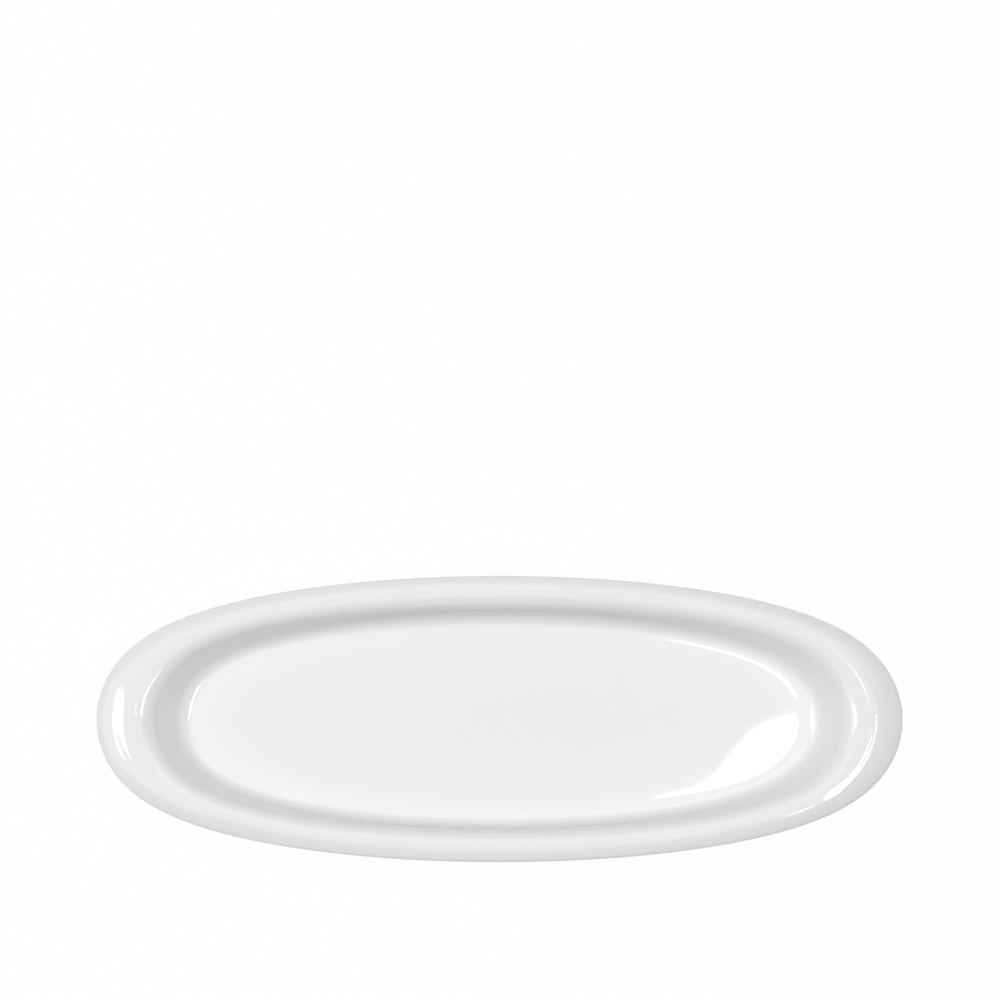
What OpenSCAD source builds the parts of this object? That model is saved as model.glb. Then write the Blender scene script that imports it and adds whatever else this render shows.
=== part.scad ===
// Long oval plate for asparagus. A porcelain body has a flat well, a sloping wall, a broad rolled rim
// and a foot ring. Glaze covers all of it but the ground face of that ring.
// The origin is the middle of the foot ring on the table, X runs along the plate and Z is up.

/* [Outline] */
// Length over the rim
plate_l = 400; // [340:1:460]
// Width over the rim
plate_w = 142; // [130:1:180]
// Share of the half width that rolls round the inner oval and rounds the plate's ends
round_share = 0.5; // [0.4:0.01:0.6]

/* [Well] */
// Depth of the well's edge below the crest of the rim
well_depth = 19; // [15:0.5:22]
// Dip of the well's middle below its edge
floor_dip = 0.3; // [0.1:0.1:1.2]
// Width of the rim and the well's wall together at each end
border_end_w = 47; // [43:0.5:56]
// Width of the rim and the well's wall together along each side
border_side_w = 23.5; // [22:0.5:27]

/* [Wall and rim] */
// Width of the cove from the floor up into the wall at each end
cove_end_w = 8.8; // [6:0.1:11]
// Width of the cove along each side
cove_side_w = 6.9; // [5:0.1:8]
// Width of the straight wall, seen from above, at each end
wall_end_w = 8.7; // [5:0.1:12]
// Width of the straight wall, seen from above, along each side
wall_side_w = 0.3; // [0.2:0.1:1]
// Width of the tight shoulder above the wall at each end
shoulder_end_w = 7.6; // [6:0.1:10]
// Width of the tight shoulder along each side
shoulder_side_w = 5.8; // [5:0.1:7]
// Width of the gentle rise from the shoulder to the crest at each end
rise_end_w = 6.7; // [4:0.1:9]
// Width of the gentle rise along each side
rise_side_w = 3.5; // [2:0.1:5]
// Angle at which the shoulder passes into the gentle rise
rise_lean = 10; // [6:1:16]
// Angle of the rim below the level at its outer edge
rim_tilt = 30; // [18:1:36]

/* [Thickness] */
// Thickness of the base in the well
base_t = 5; // [4.5:0.1:7]
// Thickness of the wall and the rim
wall_t = 4.4; // [3.8:0.1:4.8]

/* [Foot ring] */
// Height of the foot ring below the base
foot_h = 3.5; // [3:0.1:5]
// Width of the ground bearing face
foot_w = 4; // [3:0.1:7]
// Distance from the edge of the well's floor in to the bearing face
foot_inset = 7; // [4:0.5:10]
// Radius where the foot ring meets the base
foot_fillet = 1.2; // [0.6:0.1:1.6]
// Height of the sloped edge beside the bearing face
foot_edge = 0.6; // [0.3:0.1:0.8]

/* [Glaze] */
// Thickness of the glaze
glaze_t = 0.3; // [0.2:0.05:0.4]
// Height above the table at which the glaze stops on the foot ring
glaze_line_h = 1.2; // [1:0.1:1.3]

/* [Hidden] */

// Steps in each stretch of the border from the floor outwards: cove, wall, shoulder, rise and rim.
// The upper side has more of them than the underside.
upper_steps = [4, 1, 4, 2, 3];
under_steps = [3, 1, 3, 2, 2];
// Rings on the flat floor and under the base, as shares of its half length and half width
floor_ring_shares = [0.4, 0.75];

// Points round the plate
turn_steps = 72;
// Steps round the lip above and below its widest line
upper_lip_steps = 2;
lower_lip_steps = 3;
// Halvings that find the wall's angle
lean_halvings = 24;
quarter_turn = 90;
full_turn = 360;

half_l = plate_l / 2;
half_w = plate_w / 2;
floor_a = half_l - border_end_w;
floor_b = half_w - border_side_w;
lip_r = wall_t / 2;
// The upper side ends where the lip's round begins
edge_in = lip_r * (1 - sin(rim_tilt));
edge_a = half_l - edge_in;
edge_b = half_w - edge_in;

floor_z = foot_h + base_t;
shelf_z = floor_z - wall_t;
// Plan offsets of the foot ring from the edge of the well's floor
foot_out = -foot_inset;
foot_in = foot_out - foot_w;
foot_outer_side = foot_out + foot_edge;
foot_inner_side = foot_in - foot_edge;
// Depth that is ground off the cast foot ring
grind = foot_edge;

function unit(v) = v / norm(v);
function reversed(list) = [for (i = [len(list) - 1 : -1 : 0]) list[i]];

// Angle of the outline's normal at turn t, spread so that the points are even round the ends and sides
function normal_angle(a, b, t) = let (d = round_share * b)
    atan2(sqrt(a - d) * sin(t), sqrt(b - d) * cos(t));

// Point of the oval with half length a and half width b at turn t, moved outwards by out
function oval(a, b, t, out = 0) = let (
        d = round_share * b,
        angle = normal_angle(a, b, t),
        n = [cos(angle), sin(angle)],
        reach = norm([(a - d) * n.x, (b - d) * n.y]))
    [pow(a - d, 2) * n.x / reach + (d + out) * n.x, pow(b - d, 2) * n.y / reach + (d + out) * n.y];

// Width of the border at turn t, and how near it is to the width at the ends
function border_w(t) = norm(oval(edge_a, edge_b, t) - oval(floor_a, floor_b, t));
function end_share(t) = (border_w(t) - border_w(quarter_turn)) / (border_w(0) - border_w(quarter_turn));

// Widths of the stretches at turn t
function between(side, end, t) = side + (end - side) * end_share(t);
function cove_w(t) = between(cove_side_w, cove_end_w, t);
function wall_w(t) = between(wall_side_w, wall_end_w, t);
function shoulder_w(t) = between(shoulder_side_w, shoulder_end_w, t);
function rise_w(t) = between(rise_side_w, rise_end_w, t);
function rim_w(t) = border_w(t) - cove_w(t) - wall_w(t) - shoulder_w(t) - rise_w(t);

// A station is the number of a stretch, from 0, plus the share of its bend that lies before the station
function stations(steps) = concat([0], [for (i = [0 : len(steps) - 1], k = [1 : steps[i]]) i + k / steps[i]]);
edge_station = len(upper_steps);
crest_station = edge_station - 1;

// Run and height of a stretch of width w that bends from lean a to lean b, up to a share of its bend
function bend(w, a, b, share) = a == b ? w * share * [1, tan(a)]
    : let (c = a + (b - a) * share) w / (sin(b) - sin(a)) * [sin(c) - sin(a), cos(a) - cos(c)];

// Width and first and last lean of each stretch at turn t, for a wall with the given lean
function stretches(t, lean) = [[cove_w(t), 0, lean], [wall_w(t), lean, lean],
    [shoulder_w(t), lean, rise_lean], [rise_w(t), rise_lean, 0], [rim_w(t), 0, -rim_tilt]];

// Place across the border and height above the floor's edge at a station
function climb(list, station, i = 0) = i >= len(list) || station <= i ? [0, 0]
    : bend(list[i][0], list[i][1], list[i][2], min(station - i, 1)) + climb(list, station, i + 1);

// Lean of the wall at turn t that gives the well its depth
function wall_lean(t, low, high, halvings) = let (middle = (low + high) / 2)
    halvings == 0 ? middle
    : climb(stretches(t, middle), crest_station).y < well_depth ? wall_lean(t, middle, high, halvings - 1)
    : wall_lean(t, low, middle, halvings - 1);

turns = [for (j = [0 : turn_steps - 1]) full_turn * j / turn_steps];
sections = [for (t = turns) stretches(t, wall_lean(t, 0, quarter_turn, lean_halvings))];

// Rings, each a list of points round the plate
function upper_ring(station) = [for (j = [0 : turn_steps - 1]) let (
        t = turns[j],
        place = climb(sections[j], station),
        s = place.x / border_w(t),
        p = oval(floor_a + s * (edge_a - floor_a), floor_b + s * (edge_b - floor_b), t))
    [p.x, p.y, floor_z + place.y]];
function floor_ring(share, z) = [for (t = turns) let (p = share * oval(floor_a, floor_b, t)) [p.x, p.y, z]];
function foot_ring(out, z) = [for (t = turns) let (p = oval(floor_a, floor_b, t, out)) [p.x, p.y, z]];
edge_ring = upper_ring(edge_station);
function lip_ring(lean) = [for (j = [0 : turn_steps - 1]) let (
        angle = normal_angle(edge_a, edge_b, turns[j]),
        n = [cos(angle), sin(angle), 0],
        up = [0, 0, 1],
        centre = edge_ring[j] - lip_r * (n * sin(rim_tilt) + up * cos(rim_tilt)))
    centre + lip_r * (n * cos(lean) + up * sin(lean))];
function dip_z(share) = floor_z - floor_dip * (1 - share * share);

// Rings moved into the material, along the normals of the surface between the rings before and after
function end_ring(ring, pole) = [for (p = ring) pole == undef ? p : pole];
function ring_before(rings, i, pole) = i > 0 ? rings[i - 1] : end_ring(rings[i], pole);
function ring_after(rings, i, pole) = i < len(rings) - 1 ? rings[i + 1] : end_ring(rings[i], pole);
function sunk(rings, depth, first_pole, last_pole) = [for (i = [0 : len(rings) - 1]) let (
        before = ring_before(rings, i, first_pole),
        after = ring_after(rings, i, last_pole))
    [for (j = [0 : turn_steps - 1]) let (
            next = rings[i][(j + 1) % turn_steps],
            last = rings[i][(j + turn_steps - 1) % turn_steps])
        rings[i][j] - depth * unit(cross(after[j] - before[j], next - last))]];

// Rings of the foot's fillets, from the base down the outer side and from the inner side up to the recess
fillet_leans = [quarter_turn, quarter_turn / 2, 0];
function outer_fillet(lean) = foot_ring(
    foot_outer_side + foot_fillet * (1 - cos(lean)), shelf_z - foot_fillet * (1 - sin(lean)));
function inner_fillet(lean) = foot_ring(
    foot_inner_side - foot_fillet * (1 - cos(lean)), foot_h - foot_fillet * (1 - sin(lean)));

// The finished surface, from the middle of the well over the lip to the middle of the recess
upper_side = concat([for (share = floor_ring_shares) floor_ring(share, dip_z(share))],
    [for (station = stations(upper_steps)) upper_ring(station)]);
lip_leans = concat(
    [for (k = [upper_lip_steps - 1 : -1 : 0]) (quarter_turn - rim_tilt) * k / upper_lip_steps],
    [for (k = [1 : lower_lip_steps]) -(quarter_turn + rim_tilt) * k / lower_lip_steps]);
lip = [for (lean = lip_leans) lip_ring(lean)];
// The lip's last ring stands for the underside's ring at the edge
under_border = sunk([for (station = stations(under_steps)) upper_ring(station)],
    wall_t, [0, 0, floor_z], undef);
underside = concat([for (i = [len(under_border) - 2 : -1 : 0]) under_border[i]],
    [for (lean = fillet_leans) outer_fillet(lean)]);
outer_glaze_line = [foot_ring(foot_outer_side, glaze_line_h)];
bare_foot = [foot_ring(foot_outer_side, foot_edge), foot_ring(foot_out - grind, -grind),
    foot_ring(foot_in + grind, -grind), foot_ring(foot_inner_side, foot_edge)];
inner_glaze_line = [foot_ring(foot_inner_side, glaze_line_h)];
recess = concat([for (lean = reversed(fillet_leans)) inner_fillet(lean)],
    [for (share = reversed(floor_ring_shares))
        [for (p = foot_ring(foot_inner_side - foot_fillet, foot_h)) [share * p.x, share * p.y, p.z]]]);

well_middle = [0, 0, dip_z(0)];
recess_middle = [0, 0, foot_h];
coat = concat(upper_side, lip, underside, outer_glaze_line);
island = concat(inner_glaze_line, recess);
coat_back = sunk(coat, glaze_t, well_middle, undef);
island_back = sunk(island, glaze_t, undef, recess_middle);
well_middle_back = well_middle - [0, 0, glaze_t];
recess_middle_back = recess_middle + [0, 0, glaze_t];

// Closed skin over rings that run outwards and down from first_pole, and back in to last_pole.
// The body's skin falls where the glaze's rises, so the two split a face that they share along one diagonal.
module skin(first_pole, rings, last_pole, rising = false) {
    count = len(rings);
    points = concat([first_pole], [for (ring = rings) each ring], [last_pole]);
    function at(i, j) = 1 + i * turn_steps + j % turn_steps;
    last = len(points) - 1;
    quads = [for (i = [0 : count - 2], j = [0 : turn_steps - 1])
        [at(i, j), at(i, j + 1), at(i + 1, j + 1), at(i + 1, j)]];
    faces = concat(
        [for (j = [0 : turn_steps - 1]) [0, at(0, j + 1), at(0, j)]],
        [for (q = quads) each rising ? [[q[0], q[1], q[3]], [q[1], q[2], q[3]]]
            : [[q[0], q[1], q[2]], [q[0], q[2], q[3]]]],
        [for (j = [0 : turn_steps - 1]) [last, at(count - 1, j), at(count - 1, j + 1)]]);
    polyhedron(points, faces);
}

// What lies below the table's plane, ground off the foot ring
module grinding() {
    translate([-half_l, -half_w, -plate_w]) cube([plate_l, plate_w, plate_w]);
}

module porcelain_body() {
    color("whitesmoke") difference() {
        skin(well_middle_back, concat(coat_back, outer_glaze_line, bare_foot, inner_glaze_line, island_back),
            recess_middle_back);
        grinding();
    }
}

module glaze_coat() {
    color("white") skin(well_middle, concat(coat, reversed(coat_back)), well_middle_back, rising = true);
}

module base_glaze() {
    color("white") skin(recess_middle_back, concat(reversed(island_back), island), recess_middle,
        rising = true);
}

porcelain_body();
glaze_coat();
base_glaze();
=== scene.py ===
"""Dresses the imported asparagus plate: a porcelain body under two coats of glaze, in a white studio."""

import logging
import math
from dataclasses import astuple, dataclass
from functools import cached_property

import bmesh
import bpy
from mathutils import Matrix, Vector


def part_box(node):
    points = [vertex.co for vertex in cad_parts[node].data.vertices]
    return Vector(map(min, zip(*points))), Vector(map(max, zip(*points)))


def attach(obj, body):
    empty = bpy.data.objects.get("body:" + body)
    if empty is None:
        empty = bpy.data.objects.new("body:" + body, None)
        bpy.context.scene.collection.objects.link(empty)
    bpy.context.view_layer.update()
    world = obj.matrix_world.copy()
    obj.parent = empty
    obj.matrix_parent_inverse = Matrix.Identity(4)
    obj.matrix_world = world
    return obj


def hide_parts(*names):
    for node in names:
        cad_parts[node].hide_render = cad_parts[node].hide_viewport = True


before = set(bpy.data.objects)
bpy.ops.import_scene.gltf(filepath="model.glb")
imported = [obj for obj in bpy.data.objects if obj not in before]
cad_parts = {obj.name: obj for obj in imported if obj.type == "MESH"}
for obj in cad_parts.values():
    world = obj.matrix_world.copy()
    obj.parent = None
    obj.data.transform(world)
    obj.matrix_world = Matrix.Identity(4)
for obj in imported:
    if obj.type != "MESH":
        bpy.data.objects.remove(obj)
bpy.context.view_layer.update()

ROOT_BODY = "root"
MM = 0.001
FULL_TURN = 2 * math.pi
QUARTER_TURN = math.pi / 2
UP = Vector((0, 0, 1))

# Numbers of the Mix node's sockets, because sockets of several types share each name.
MIX_VALUE_IN = (2, 3)
MIX_COLOUR_IN = (6, 7)
MIX_VALUE_OUT = 0
MIX_COLOUR_OUT = 2

log = logging.getLogger("asparagus_plate")

Ring = list[Vector]


@dataclass(frozen=True)
class Stretch:
    """A stretch of the border's section: an arc, or a straight line where its two leans are alike."""

    width: float
    first: float
    last: float

    def climb(self, share: float) -> Vector:
        """Follows the stretch.

        Args:
            share: How much of its bend to follow, from 0 to 1.

        Returns:
            The distance outwards and the height gained.
        """
        if self.first == self.last:
            return self.width * share * Vector((1.0, math.tan(self.first)))
        lean = self.first + (self.last - self.first) * share
        run, rise = math.sin(lean) - math.sin(self.first), math.cos(self.first) - math.cos(lean)
        return self.width / (math.sin(self.last) - math.sin(self.first)) * Vector((run, rise))


@dataclass(frozen=True)
class BorderWidths:
    """Widths, seen from above, of the stretches from the well's floor up to the crest of the rim."""

    cove: float
    wall: float
    shoulder: float
    rise: float

    def towards(self, other: "BorderWidths", share: float) -> "BorderWidths":
        """Gives the widths that lie a share of the way, from 0 to 1, towards others."""
        return BorderWidths(*(a + (b - a) * share for a, b in zip(astuple(self), astuple(other))))


@dataclass(frozen=True)
class PlateForm:
    """The finished surface of the plate as rings round its middle.

    Lengths are in metres. A station on the border is the number of a stretch, counted outwards from
    the floor, plus the share of that stretch's bend.
    """

    length: float
    width: float
    crest_z: float
    border_end: float = 47 * MM
    border_side: float = 23.5 * MM
    end: BorderWidths = BorderWidths(cove=8.8 * MM, wall=8.7 * MM, shoulder=7.6 * MM, rise=6.7 * MM)
    side: BorderWidths = BorderWidths(cove=6.9 * MM, wall=0.3 * MM, shoulder=5.8 * MM, rise=3.5 * MM)
    rise_lean: float = math.radians(10)
    rim_tilt: float = math.radians(30)
    well_depth: float = 19 * MM
    floor_dip: float = 0.3 * MM
    toe_width: float = 4 * MM
    toe_lean: float = math.radians(2.8)
    wall: float = 4.4 * MM
    foot_height: float = 3.5 * MM
    foot_width: float = 4 * MM
    foot_inset: float = 7 * MM
    foot_fillet: float = 1.2 * MM
    foot_edge: float = 0.6 * MM
    glaze: float = 0.3 * MM
    glaze_line: float = 1.2 * MM
    round_share: float = 0.5
    segments: int = 288
    floor_steps: int = 12
    toe_steps: int = 6
    stretch_steps: tuple[int, ...] = (16, 8, 16, 8, 12)
    lip_steps: int = 12
    fillet_steps: int = 5
    halvings: int = 40

    @cached_property
    def floor_z(self) -> float:
        """Height of the edge of the well's floor."""
        return self.crest_z - self.well_depth

    @cached_property
    def well_middle(self) -> Vector:
        """The middle of the well's floor."""
        return UP * (self.floor_z - self.floor_dip)

    @cached_property
    def recess_middle(self) -> Vector:
        """The middle of the recess under the base."""
        return UP * self.foot_height

    @cached_property
    def floor_half(self) -> Vector:
        """Half length and half width of the well's floor."""
        return Vector((self.length / 2 - self.border_end, self.width / 2 - self.border_side))

    @cached_property
    def edge_half(self) -> Vector:
        """Half length and half width of the line where the lip's round begins."""
        inset = self.wall / 2 * (1 - math.sin(self.rim_tilt))
        return Vector((self.length / 2 - inset, self.width / 2 - inset))

    @cached_property
    def turns(self) -> list[float]:
        """Angles round the plate at which every ring has a point."""
        return [FULL_TURN * step / self.segments for step in range(self.segments)]

    @cached_property
    def sections(self) -> list[list[Stretch]]:
        """The border's stretches at each turn."""
        return [self.section(turn) for turn in self.turns]

    def facing(self, half: Vector, turn: float) -> Vector:
        """Gives the direction in which an oval faces, spread evenly round its ends and sides.

        Args:
            half: Half length and half width of the oval.
            turn: Angle round the plate.

        Returns:
            The oval's outward normal, in plan.
        """
        core = self.round_share * half.y
        across = math.sqrt(half.y - core) * math.cos(turn)
        along = math.sqrt(half.x - core) * math.sin(turn)
        return Vector((across, along)).normalized()

    def oval(self, half: Vector, turn: float, out: float = 0.0) -> Vector:
        """Gives a point of an oval: an ellipse with a round of constant radius rolled about it.

        Args:
            half: Half length and half width of the oval.
            turn: Angle round the plate.
            out: Distance by which the oval is offset outwards.

        Returns:
            The point, in plan.
        """
        core = self.round_share * half.y
        facing = self.facing(half, turn)
        axes = Vector((half.x - core, half.y - core))
        return axes * axes * facing / (axes * facing).length + facing * (core + out)

    def border(self, turn: float) -> float:
        """Gives the width of the border at a turn."""
        return (self.oval(self.edge_half, turn) - self.oval(self.floor_half, turn)).length

    def section(self, turn: float) -> list[Stretch]:
        """Works out the border's section at a turn.

        Args:
            turn: Angle round the plate.

        Returns:
            The stretches from the floor to the lip, with the wall as steep as the well's depth needs.
        """
        border, narrow, wide = self.border(turn), self.border(QUARTER_TURN), self.border(0.0)
        widths = self.side.towards(self.end, (border - narrow) / (wide - narrow))
        rim = Stretch(border - sum(astuple(widths)), 0.0, -self.rim_tilt)
        low, high = 0.0, QUARTER_TURN
        for _ in range(self.halvings):
            lean = (low + high) / 2
            wall = [
                Stretch(widths.cove, self.toe_lean, lean),
                Stretch(widths.wall, lean, lean),
                Stretch(widths.shoulder, lean, self.rise_lean),
                Stretch(widths.rise, self.rise_lean, 0.0),
            ]
            if sum(stretch.climb(1.0).y for stretch in wall) < self.well_depth:
                low = lean
            else:
                high = lean
        return [*wall, rim]

    def upper(self, station: float) -> Ring:
        """Gives a ring of the upper side.

        Args:
            station: Place on the border.

        Returns:
            The ring.
        """
        ring = []
        for turn, section in zip(self.turns, self.sections):
            place = Vector((0.0, 0.0))
            for number, stretch in enumerate(section):
                place += stretch.climb(min(max(station - number, 0.0), 1.0))
            whole = sum(stretch.width for stretch in section)
            half = self.floor_half.lerp(self.edge_half, place.x / whole)
            ring.append(self.oval(half, turn).to_3d() + UP * (self.floor_z + place.y))
        return ring

    def lip(self, lean: float) -> Ring:
        """Gives a ring of the rounded lip.

        Args:
            lean: Angle of the ring above the lip's widest line.

        Returns:
            The ring.
        """
        radius = self.wall / 2
        ring = []
        for turn, edge in zip(self.turns, self.edge):
            out = self.facing(self.edge_half, turn).to_3d()
            centre = edge - radius * (out * math.sin(self.rim_tilt) + UP * math.cos(self.rim_tilt))
            ring.append(centre + radius * (out * math.cos(lean) + UP * math.sin(lean)))
        return ring

    @cached_property
    def edge(self) -> Ring:
        """The ring at which the lip's round begins."""
        return self.upper(len(self.stretch_steps))

    def foot(self, out: float, z: float, share: float = 1.0) -> Ring:
        """Gives a ring at a distance outwards from the edge of the well's floor, scaled in plan."""
        return [share * self.oval(self.floor_half, turn, out).to_3d() + UP * z for turn in self.turns]

    def floor_ring(self, inset: float, share: float = 1.0) -> Ring:
        """Gives a ring of the well's floor, which is slightly dished and turns up in a toe at its edge.

        Args:
            inset: Distance inwards from the floor's edge.
            share: Scale of the ring in plan.

        Returns:
            The ring.
        """
        sweep = self.toe_lean / (2 * self.toe_width)
        dish = self.floor_dip - sweep * self.toe_width**2
        ring = []
        for turn in self.turns:
            place = share * self.oval(self.floor_half, turn, -inset)
            middle = 1 - (place.length / self.oval(self.floor_half, turn).length) ** 2
            drop = dish * middle + sweep * (self.toe_width**2 - (self.toe_width - inset) ** 2)
            ring.append(place.to_3d() + UP * (self.floor_z - drop))
        return ring

    def floor(self) -> list[Ring]:
        """Gives the rings of the well's floor.

        Returns:
            The rings, from near its middle to near its edge.
        """
        shares = [step / self.floor_steps for step in range(1, self.floor_steps + 1)]
        flat = [self.floor_ring(self.toe_width, share) for share in shares]
        insets = [self.toe_width * (1 - step / self.toe_steps) for step in range(1, self.toe_steps)]
        return flat + [self.floor_ring(inset) for inset in insets]

    @cached_property
    def coat(self) -> list[Ring]:
        """The rings of the main coat's face.

        Returns:
            The rings, from the well over the lip to the glaze line on the foot.
        """
        floor = self.floor()
        stations = [0.0]
        for number, steps in enumerate(self.stretch_steps):
            stations += [number + step / steps for step in range(1, steps + 1)]
        upper = [self.upper(station) for station in stations]
        first, last = QUARTER_TURN - self.rim_tilt, -QUARTER_TURN - self.rim_tilt
        leans = [first + (last - first) * step / self.lip_steps for step in range(1, self.lip_steps)]
        lip = [self.lip(lean) for lean in leans]
        under = self.sunk(upper, self.wall, before=floor[-1], after=lip[0])
        side = -self.foot_inset + self.foot_edge
        fillet = self.fillet(side, self.foot_fillet, self.floor_z - self.wall)
        return [*floor, *upper, *lip, *reversed(under), *reversed(fillet), self.foot(side, self.glaze_line)]

    def fillet(self, side: float, spread: float, top: float) -> list[Ring]:
        """Gives the rings of a fillet between a side of the foot and the face above it.

        Args:
            side: Distance of the foot's side outwards from the edge of the well's floor.
            spread: Distance outwards by which the fillet widens, negative on the inner side.
            top: Height of the face above.

        Returns:
            The rings, from the side up to the face.
        """
        rings = []
        for step in range(self.fillet_steps + 1):
            lean = QUARTER_TURN * step / self.fillet_steps
            rise, reach = 1 - math.sin(lean), 1 - math.cos(lean)
            rings.append(self.foot(side + spread * reach, top - self.foot_fillet * rise))
        return rings

    def bare_foot(self) -> list[Ring]:
        """Gives the rings of the foot that the glaze leaves bare.

        Returns:
            The rings, from the outer to the inner glaze line.
        """
        outer, inner = -self.foot_inset, -self.foot_inset - self.foot_width
        return [
            self.foot(outer + self.foot_edge, self.glaze_line),
            self.foot(outer + self.foot_edge, self.foot_edge),
            self.foot(outer, 0.0),
            self.foot(inner, 0.0),
            self.foot(inner - self.foot_edge, self.foot_edge),
            self.foot(inner - self.foot_edge, self.glaze_line),
        ]

    @cached_property
    def island(self) -> list[Ring]:
        """The rings of the glaze's face in the recess.

        Returns:
            The rings, from the glaze line inside the foot to near the middle.
        """
        side = -self.foot_inset - self.foot_width - self.foot_edge
        fillet = self.fillet(side, -self.foot_fillet, self.foot_height)
        shares = [1 - step / self.floor_steps for step in range(1, self.floor_steps)]
        ceiling = [self.foot(side - self.foot_fillet, self.foot_height, share) for share in shares]
        return [self.foot(side, self.glaze_line), *fillet, *ceiling]

    def sunk(
        self, rings: list[Ring], depth: float, before: Ring | None = None, after: Ring | None = None
    ) -> list[Ring]:
        """Moves rings into the material, square to the surface that they lie on.

        Args:
            rings: Rings of the finished surface, in order.
            depth: Distance to move.
            before: Ring before the first, if the surface goes on there.
            after: Ring after the last, if the surface goes on there.

        Returns:
            The moved rings.
        """
        line = [before or rings[0], *rings, after or rings[-1]]
        moved = []
        for place, ring in enumerate(rings):
            across = [last - first for first, last in zip(line[place], line[place + 2])]
            along = [last - first for first, last in zip([ring[-1], *ring], [*ring[1:], ring[0]])]
            moved.append([p - depth * a.cross(b).normalized() for p, a, b in zip(ring, across, along)])
        return moved

    @cached_property
    def coat_back(self) -> list[Ring]:
        """The rings on which the main coat lies, in the same order."""
        return self.sunk(self.coat, self.glaze, before=[self.well_middle] * self.segments)

    @cached_property
    def island_back(self) -> list[Ring]:
        """The rings on which the glaze in the recess lies, in the same order."""
        return self.sunk(self.island, self.glaze, after=[self.recess_middle] * self.segments)


class RingSkin:
    """A closed skin that grows ring by ring from one middle point to another."""

    def __init__(self, segments: int, middle: Vector) -> None:
        """Starts the skin with a small disc.

        Args:
            segments: Points round each ring.
            middle: The point at which the skin starts.
        """
        self.mesh = bmesh.new()
        self.place = self.mesh.verts.layers.int.new("place")
        bmesh.ops.create_circle(self.mesh, cap_ends=True, cap_tris=True, segments=segments, radius=1.0)
        self.rim = [vert for vert in self.mesh.verts if vert.is_boundary]
        for vert in self.mesh.verts:
            turn = math.atan2(vert.co.y, vert.co.x)
            vert[self.place] = round(turn / FULL_TURN * segments) % segments
            vert.co = middle

    def lay(self, ring: Ring) -> None:
        """Lays the skin's edge on a ring."""
        for vert in self.rim:
            vert.co = ring[vert[self.place]]

    def grow(self, ring: Ring) -> None:
        """Extrudes the skin's edge to the next ring.

        Args:
            ring: The next ring.
        """
        edges = {edge for vert in self.rim for edge in vert.link_edges if edge.is_boundary}
        made = bmesh.ops.extrude_edge_only(self.mesh, edges=list(edges))
        self.rim = [item for item in made["geom"] if isinstance(item, bmesh.types.BMVert)]
        self.lay(ring)

    def close(self, middle: Vector) -> None:
        """Draws the skin's edge together in one point."""
        bmesh.ops.pointmerge(self.mesh, verts=self.rim, merge_co=middle)

    def finish(self, name: str, sharp_angle: float) -> bpy.types.Object:
        """Turns the skin into an object with smooth faces.

        Args:
            name: The object's name.
            sharp_angle: Angle from which an edge is shown sharp.

        Returns:
            The object, linked into the scene.
        """
        bmesh.ops.recalc_face_normals(self.mesh, faces=self.mesh.faces[:])
        for face in self.mesh.faces:
            face.smooth = True
        data = bpy.data.meshes.new(name)
        self.mesh.verts.layers.int.remove(self.place)
        self.mesh.to_mesh(data)
        self.mesh.free()
        data.set_sharp_from_angle(angle=sharp_angle)
        piece = bpy.data.objects.new(name, data)
        bpy.context.scene.collection.objects.link(piece)
        return piece


class NodeMaker:
    """Adds and links the nodes of one tree."""

    def __init__(self, tree: bpy.types.NodeTree) -> None:
        """Takes the tree and empties it."""
        self.tree = tree
        tree.nodes.clear()

    def add(
        self, kind: str, values: dict[str | int, object] | None = None, **settings: object
    ) -> bpy.types.Node:
        """Adds a node.

        Args:
            kind: Blender's name of the node type.
            values: Values for the node's inputs, by the input's name or number.
            settings: The node's own properties.

        Returns:
            The node.
        """
        node = self.tree.nodes.new(kind)
        for key, value in settings.items():
            setattr(node, key, value)
        for key, value in (values or {}).items():
            node.inputs[key].default_value = value
        return node

    def link(self, source: bpy.types.NodeSocket, target: bpy.types.NodeSocket) -> None:
        """Links an output to an input."""
        self.tree.links.new(source, target)


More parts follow.
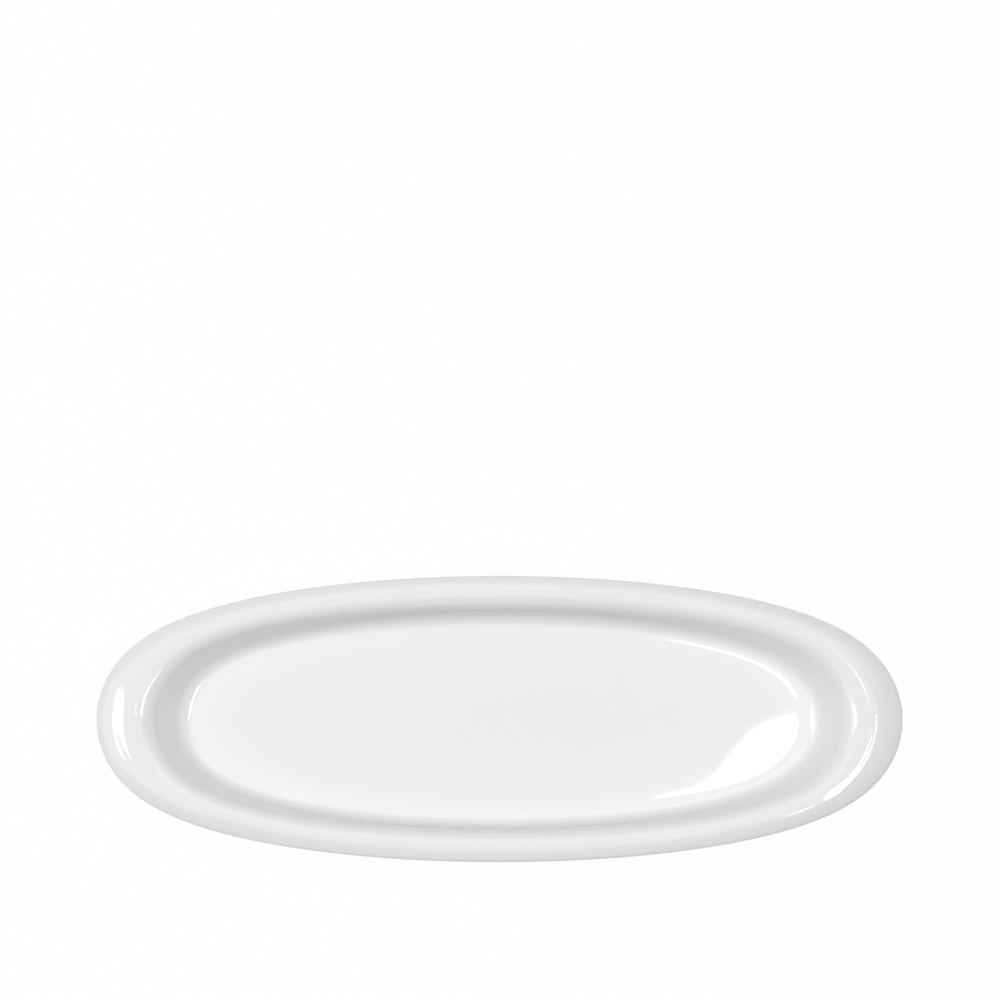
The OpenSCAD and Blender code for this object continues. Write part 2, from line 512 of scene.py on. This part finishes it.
@dataclass(frozen=True)
class FiredSurface:
    """The unevenness that firing leaves, which glaze and bare porcelain share."""

    name: str = "fired_surface"
    wave_detail: float = 1.0
    wave_roughness: float = 0.4
    grain_detail: float = 4.0
    grain_roughness: float = 0.6

    def group(self) -> bpy.types.NodeTree:
        """Makes the node group, or gives it again once it is made.

        Returns:
            The group, with a slow wave, a fine grain and their joint height.
        """
        group = bpy.data.node_groups.get(self.name)
        if group:
            return group
        group = bpy.data.node_groups.new(self.name, "ShaderNodeTree")
        sockets = group.interface
        sockets.new_socket("Vector", in_out="INPUT", socket_type="NodeSocketVector")
        for name in ("Wave Scale", "Grain Scale", "Grain Share"):
            sockets.new_socket(name, in_out="INPUT", socket_type="NodeSocketFloat")
        for name in ("Wave", "Grain", "Height"):
            sockets.new_socket(name, in_out="OUTPUT", socket_type="NodeSocketFloat")
        maker = NodeMaker(group)
        given = maker.add("NodeGroupInput")
        out = maker.add("NodeGroupOutput")
        blend = maker.add("ShaderNodeMix", data_type="FLOAT")
        maker.link(given.outputs["Grain Share"], blend.inputs["Factor"])
        looks = ((self.wave_detail, self.wave_roughness), (self.grain_detail, self.grain_roughness))
        for name, (detail, roughness), place in zip(("Wave", "Grain"), looks, MIX_VALUE_IN):
            noise = maker.add("ShaderNodeTexNoise", {"Detail": detail, "Roughness": roughness})
            maker.link(given.outputs["Vector"], noise.inputs["Vector"])
            maker.link(given.outputs[f"{name} Scale"], noise.inputs["Scale"])
            maker.link(noise.outputs[0], blend.inputs[place])
            maker.link(noise.outputs[0], out.inputs[name])
        maker.link(blend.outputs[MIX_VALUE_OUT], out.inputs["Height"])
        return group

    def add(
        self, maker: NodeMaker, wave_scale: float, grain_scale: float, grain_share: float
    ) -> bpy.types.Node:
        """Places the group in a material, on Object coordinates.

        Args:
            maker: Maker for the material's tree.
            wave_scale: Scale of the slow wave.
            grain_scale: Scale of the fine grain.
            grain_share: Share of the grain in the joint height.

        Returns:
            The group's node.
        """
        scales = {"Wave Scale": wave_scale, "Grain Scale": grain_scale, "Grain Share": grain_share}
        uneven = maker.add("ShaderNodeGroup", scales, node_tree=self.group())
        maker.link(maker.add("ShaderNodeTexCoord").outputs["Object"], uneven.inputs["Vector"])
        return uneven


@dataclass(frozen=True)
class GlazeFinish:
    """Clear high gloss glaze over white porcelain, painted a little darker and cooler higher up towards the
    rim as shade, in patches.
    """

    name: str = "clear_glaze"
    # The first tone is painted shade on the higher parts of the plate, the second the lighter tone low in
    # the well.
    rim_shade: tuple[float, float, float, float] = (0.872, 0.873, 0.887, 1.0)
    well_tone: tuple[float, float, float, float] = (0.878, 0.878, 0.88, 1.0)
    shade_low: float = 8 * MM
    shade_high: float = 22 * MM
    smooth: float = 0.012
    dull: float = 0.03
    refraction: float = 1.55
    wave_scale: float = 38.0
    grain_scale: float = 260.0
    grain_share: float = 0.04
    wave_height: float = 0.02 * MM

    def material(self) -> bpy.types.Material:
        """Makes the material.

        Returns:
            The material.
        """
        made = bpy.data.materials.new(self.name)
        made.use_nodes = True
        maker = NodeMaker(made.node_tree)
        uneven = FiredSurface().add(maker, self.wave_scale, self.grain_scale, self.grain_share)
        place = maker.add("ShaderNodeTexCoord")
        split = maker.add("ShaderNodeSeparateXYZ")
        # Painted shade: the tone turns darker and cooler from the well's floor up to the rim, broken into
        # patches by the wave.
        unshaded = maker.add("ShaderNodeMapRange", {"From Min": self.shade_high, "From Max": self.shade_low})
        patchy = maker.add("ShaderNodeMath", operation="MULTIPLY", use_clamp=True)
        tones = dict(zip(MIX_COLOUR_IN, (self.rim_shade, self.well_tone)))
        tone = maker.add("ShaderNodeMix", tones, data_type="RGBA")
        gloss = maker.add("ShaderNodeMapRange", {"To Min": self.smooth, "To Max": self.dull})
        bump = maker.add("ShaderNodeBump", {"Distance": self.wave_height})
        shader = maker.add("ShaderNodeBsdfPrincipled", {"IOR": self.refraction})
        out = maker.add("ShaderNodeOutputMaterial")
        maker.link(place.outputs["Object"], split.inputs[0])
        maker.link(split.outputs["Z"], unshaded.inputs["Value"])
        maker.link(unshaded.outputs[0], patchy.inputs[0])
        maker.link(uneven.outputs["Wave"], patchy.inputs[1])
        maker.link(patchy.outputs[0], tone.inputs["Factor"])
        maker.link(uneven.outputs["Grain"], gloss.inputs["Value"])
        maker.link(uneven.outputs["Height"], bump.inputs["Height"])
        maker.link(tone.outputs[MIX_COLOUR_OUT], shader.inputs["Base Color"])
        maker.link(gloss.outputs[0], shader.inputs["Roughness"])
        maker.link(bump.outputs[0], shader.inputs["Normal"])
        maker.link(shader.outputs[0], out.inputs["Surface"])
        return made


@dataclass(frozen=True)
class BarePorcelainFinish:
    """Unglazed porcelain, matt and a little warmer, ground smooth on the foot."""

    name: str = "bare_porcelain"
    clean: tuple[float, float, float, float] = (0.8, 0.785, 0.755, 1.0)
    rubbed: tuple[float, float, float, float] = (0.68, 0.66, 0.62, 1.0)
    smooth: float = 0.45
    rough: float = 0.7
    wave_scale: float = 90.0
    grain_scale: float = 2200.0
    grain_share: float = 0.7
    grain_height: float = 0.08 * MM

    def material(self) -> bpy.types.Material:
        """Makes the material.

        Returns:
            The material.
        """
        made = bpy.data.materials.new(self.name)
        made.use_nodes = True
        maker = NodeMaker(made.node_tree)
        uneven = FiredSurface().add(maker, self.wave_scale, self.grain_scale, self.grain_share)
        tones = dict(zip(MIX_COLOUR_IN, (self.clean, self.rubbed)))
        tone = maker.add("ShaderNodeMix", tones, data_type="RGBA")
        gloss = maker.add("ShaderNodeMapRange", {"To Min": self.smooth, "To Max": self.rough})
        bump = maker.add("ShaderNodeBump", {"Distance": self.grain_height})
        shader = maker.add("ShaderNodeBsdfPrincipled")
        out = maker.add("ShaderNodeOutputMaterial")
        maker.link(uneven.outputs["Height"], tone.inputs["Factor"])
        maker.link(uneven.outputs["Grain"], gloss.inputs["Value"])
        maker.link(uneven.outputs["Height"], bump.inputs["Height"])
        maker.link(tone.outputs[MIX_COLOUR_OUT], shader.inputs["Base Color"])
        maker.link(gloss.outputs[0], shader.inputs["Roughness"])
        maker.link(bump.outputs[0], shader.inputs["Normal"])
        maker.link(shader.outputs[0], out.inputs["Surface"])
        return made


@dataclass
class PlatePiece:
    """One layer of the plate, which stands for the CAD node that it is named after."""

    form: PlateForm
    material: bpy.types.Material
    node: str
    slot: str
    sharp_angle: float = math.radians(40)

    def build(self) -> bpy.types.Object:
        """Makes the piece's mesh, in each layer's own way."""
        raise NotImplementedError

    def dress(self) -> bpy.types.Object:
        """Builds the piece, gives it its finish and sets it on the frame.

        Returns:
            The finished piece.
        """
        piece = self.build()
        piece.data.materials.append(self.material)
        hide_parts(self.node)
        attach(piece, ROOT_BODY)
        log.info("%s: %d faces", piece.name, len(piece.data.polygons))
        return piece

    def skin(self, first: Vector, rings: list[Ring], last: Vector) -> bpy.types.Object:
        """Lofts a closed skin.

        Args:
            first: Middle point at which the skin starts.
            rings: Rings in order.
            last: Middle point at which the skin ends.

        Returns:
            The object.
        """
        skin = RingSkin(self.form.segments, first)
        skin.lay(rings[0])
        for ring in rings[1:]:
            skin.grow(ring)
        skin.grow(rings[-1])
        skin.close(last)
        return skin.finish(f"{self.node}_piece", self.sharp_angle)


@dataclass
class PorcelainBody(PlatePiece):
    """The fired body, bare only at the foot."""

    node: str = "porcelain_body"
    slot: str = "bare_porcelain"

    def build(self) -> bpy.types.Object:
        """Lofts the body under both glazes and round the bare foot.

        Returns:
            The object.
        """
        form = self.form
        rings = [*form.coat_back, *form.bare_foot(), *form.island_back]
        first, last = form.well_middle - UP * form.glaze, form.recess_middle + UP * form.glaze
        return self.skin(first, rings, last)


@dataclass
class GlazeCoat(PlatePiece):
    """The main coat of glaze, from the well over the lip to the foot."""

    node: str = "glaze_coat"
    slot: str = "glaze"

    def build(self) -> bpy.types.Object:
        """Lofts the coat out along its face and home along its back.

        Returns:
            The object.
        """
        form = self.form
        rings = [*form.coat, *reversed(form.coat_back)]
        return self.skin(form.well_middle, rings, form.well_middle - UP * form.glaze)


@dataclass
class BaseGlaze(PlatePiece):
    """The island of glaze in the recess inside the foot."""

    node: str = "base_glaze"
    slot: str = "glaze"

    def build(self) -> bpy.types.Object:
        """Lofts the island out along its back and home along its face.

        Returns:
            The object.
        """
        form = self.form
        rings = [*reversed(form.island_back), *form.island]
        return self.skin(form.recess_middle + UP * form.glaze, rings, form.recess_middle)


@dataclass(frozen=True)
class SoftBox:
    """A flat lamp that hangs level above the plate.

    Its place and size are shares of its height, its roll is in degrees, and its brightness is the
    radiance of its face.
    """

    name: str
    place: tuple[float, float]
    size: tuple[float, float]
    brightness: float
    roll: float = 0.0
    height: float = 1.6

    def build(self) -> bpy.types.Object:
        """Hangs the lamp.

        Returns:
            The lamp's object.
        """
        lamp = bpy.data.lights.new(self.name, "AREA")
        lamp.shape = "RECTANGLE"
        lamp.size, lamp.size_y = self.size[0] * self.height, self.size[1] * self.height
        lamp.energy = self.brightness * math.pi * lamp.size * lamp.size_y
        made = bpy.data.objects.new(self.name, lamp)
        made.location = Vector((*self.place, 1.0)) * self.height
        made.rotation_euler.z = math.radians(self.roll)
        bpy.context.scene.collection.objects.link(made)
        return made


@dataclass
class Studio:
    """A white floor and surround, the lamps, and the camera at the photograph's angle.

    The lamps hang where the photograph's highlights mirror them. The boxes make the streaks on the rim.
    The bar, step and end make the bright patch on the well's floor, and the line makes the thin light
    along the floor's back edge. The panels make the soft shading.
    """

    plate_length: float
    aim_height: float = 21 * MM
    elevation: float = math.radians(86)
    distance: float = 2.0
    sensor: float = 36.0
    frame_px: float = 1000.0
    plate_px: tuple[float, float] = (499.6, 719.2)
    plate_length_px: float = 805.7
    stage_radius: float = 30.0
    stage_segments: int = 96
    wall_height: float = 8.0
    floor_drop: float = 0.05 * MM
    view_depth: float = 120.0
    floor_white: tuple[float, float, float, float] = (0.9, 0.9, 0.9, 1.0)
    surround_white: tuple[float, float, float, float] = (1.0, 1.0, 1.0, 1.0)
    shadow_share: float = 0.03
    fill: float = 0.26
    soft_boxes: tuple[SoftBox, ...] = (
        SoftBox("left_outer_box", (-0.7, 0.05), size=(0.165, 0.49), brightness=4.0, roll=2),
        SoftBox("left_inner_box", (-0.493, 0.071), size=(0.295, 0.205), brightness=4.0, roll=-30),
        SoftBox("right_outer_box", (0.362, -0.12), size=(0.045, 0.4), brightness=12.0, roll=10),
        SoftBox("right_inner_box", (0.312, -0.147), size=(0.065, 0.435), brightness=12.0, roll=28),
        SoftBox("right_tail_box", (0.308, -0.318), size=(0.075, 0.06), brightness=9.0, roll=-15),
        SoftBox("right_bar", (0.0855, 0.053), size=(0.051, 0.011), brightness=3.7, roll=14, height=3.2),
        SoftBox("right_step", (0.094, 0.0585), size=(0.0165, 0.01), brightness=3.7, roll=33, height=3.2),
        SoftBox("right_end", (0.1065, 0.0635), size=(0.0135, 0.012), brightness=3.7, roll=18, height=3.2),
        SoftBox("right_line", (0.0705, 0.0365), size=(0.027, 0.02), brightness=3.3, roll=14, height=3.2),
        SoftBox("overhead_panel", (0.0, 0.05), size=(0.67, 0.67), brightness=1.02, height=2.4),
        SoftBox("back_panel", (0.0, 0.55), size=(1.3, 0.6), brightness=0.85, height=2.6),
        SoftBox("left_panel", (-0.9, 0.1), size=(1.2, 1.2), brightness=1.1, height=2.6),
    )

    def build(self) -> None:
        """Sets up the stage, the surround, the lamps and the camera."""
        self.build_stage(self.white_paint())
        self.build_surround()
        for box in self.soft_boxes:
            log.info("lamp %s", box.build().name)
        self.build_camera()

    def background_ray(self, maker: NodeMaker) -> bpy.types.NodeSocket:
        """Adds the nodes that tell rays which show the background from rays which carry light.

        Args:
            maker: Maker for the tree that needs them.

        Returns:
            The socket that is 1 for rays from the camera, a mirror or glass.
        """
        path = maker.add("ShaderNodeLightPath")
        mirrored = maker.add("ShaderNodeMath", operation="MAXIMUM")
        seen = maker.add("ShaderNodeMath", operation="MAXIMUM")
        maker.link(path.outputs["Is Camera Ray"], mirrored.inputs[0])
        maker.link(path.outputs["Is Glossy Ray"], mirrored.inputs[1])
        maker.link(mirrored.outputs[0], seen.inputs[0])
        maker.link(path.outputs["Is Transmission Ray"], seen.inputs[1])
        return seen.outputs[0]

    def white_paint(self) -> bpy.types.Material:
        """Makes the white of the floor and the backdrop, which keeps a faint shadow.

        Returns:
            The material.
        """
        made = bpy.data.materials.new("studio_white")
        made.use_nodes = True
        maker = NodeMaker(made.node_tree)
        share = maker.add("ShaderNodeMath", {1: 1 - self.shadow_share}, operation="MULTIPLY")
        paint = maker.add("ShaderNodeBsdfDiffuse", {"Color": self.floor_white})
        glow = maker.add("ShaderNodeEmission")
        blend = maker.add("ShaderNodeMixShader")
        out = maker.add("ShaderNodeOutputMaterial")
        maker.link(self.background_ray(maker), share.inputs[0])
        maker.link(share.outputs[0], blend.inputs[0])
        maker.link(paint.outputs[0], blend.inputs[1])
        maker.link(glow.outputs[0], blend.inputs[2])
        maker.link(blend.outputs[0], out.inputs["Surface"])
        return made

    def build_stage(self, paint: bpy.types.Material) -> None:
        """Lays the round floor and stands a low wall on its edge.

        Args:
            paint: The material of both.
        """
        mesh = bmesh.new()
        made = bmesh.ops.create_circle(
            mesh, cap_ends=True, segments=self.stage_segments, radius=self.stage_radius
        )
        bmesh.ops.translate(mesh, vec=UP * -self.floor_drop, verts=made["verts"])
        edges = list({edge for vert in made["verts"] for edge in vert.link_edges})
        wall = bmesh.ops.extrude_edge_only(mesh, edges=edges)
        verts = [item for item in wall["geom"] if isinstance(item, bmesh.types.BMVert)]
        bmesh.ops.translate(mesh, vec=UP * self.wall_height, verts=verts)
        data = bpy.data.meshes.new("stage")
        mesh.to_mesh(data)
        mesh.free()
        data.materials.append(paint)
        stage = bpy.data.objects.new("stage", data)
        bpy.context.scene.collection.objects.link(stage)

    def build_surround(self) -> None:
        """Lights the plate evenly from all round and shows white behind it."""
        world = bpy.data.worlds.new("studio_surround")
        world.use_nodes = True
        bpy.context.scene.world = world
        maker = NodeMaker(world.node_tree)
        level = maker.add("ShaderNodeMapRange", {"To Min": self.fill})
        fill = maker.add("ShaderNodeBackground", {"Color": self.surround_white})
        out = maker.add("ShaderNodeOutputWorld")
        maker.link(self.background_ray(maker), level.inputs["Value"])
        maker.link(level.outputs[0], fill.inputs["Strength"])
        maker.link(fill.outputs[0], out.inputs["Surface"])

    def build_camera(self) -> None:
        """Sets the camera so that the plate lies where the photograph shows it."""
        data = bpy.data.cameras.new("camera")
        data.sensor_width = self.sensor
        px_per_metre = self.plate_length_px / self.plate_length
        below = self.plate_px[1] - self.frame_px / 2
        pitch = math.atan(below / (px_per_metre * self.distance))
        data.lens = px_per_metre * self.distance * math.cos(pitch) * self.sensor / self.frame_px
        data.clip_end = self.view_depth
        camera = bpy.data.objects.new("camera", data)
        aside = (self.frame_px / 2 - self.plate_px[0]) / px_per_metre
        back = Vector((0, -math.cos(self.elevation), math.sin(self.elevation)))
        camera.location = back * self.distance + Vector((aside, 0, self.aim_height))
        camera.rotation_euler = (QUARTER_TURN - self.elevation + pitch, 0, 0)
        bpy.context.scene.collection.objects.link(camera)
        bpy.context.scene.camera = camera


def main() -> None:
    """Builds the plate layer by layer and the studio round it."""
    logging.basicConfig(level=logging.INFO, format="%(message)s")
    low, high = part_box("glaze_coat")
    form = PlateForm(length=high.x - low.x, width=high.y - low.y, crest_z=high.z)
    glaze = GlazeFinish().material()
    bare = BarePorcelainFinish().material()
    for piece in (PorcelainBody(form, bare), GlazeCoat(form, glaze), BaseGlaze(form, glaze)):
        piece.dress()
    Studio(plate_length=form.length).build()
    bpy.context.scene.view_settings.view_transform = "Standard"


if __name__ == "__main__":
    main()
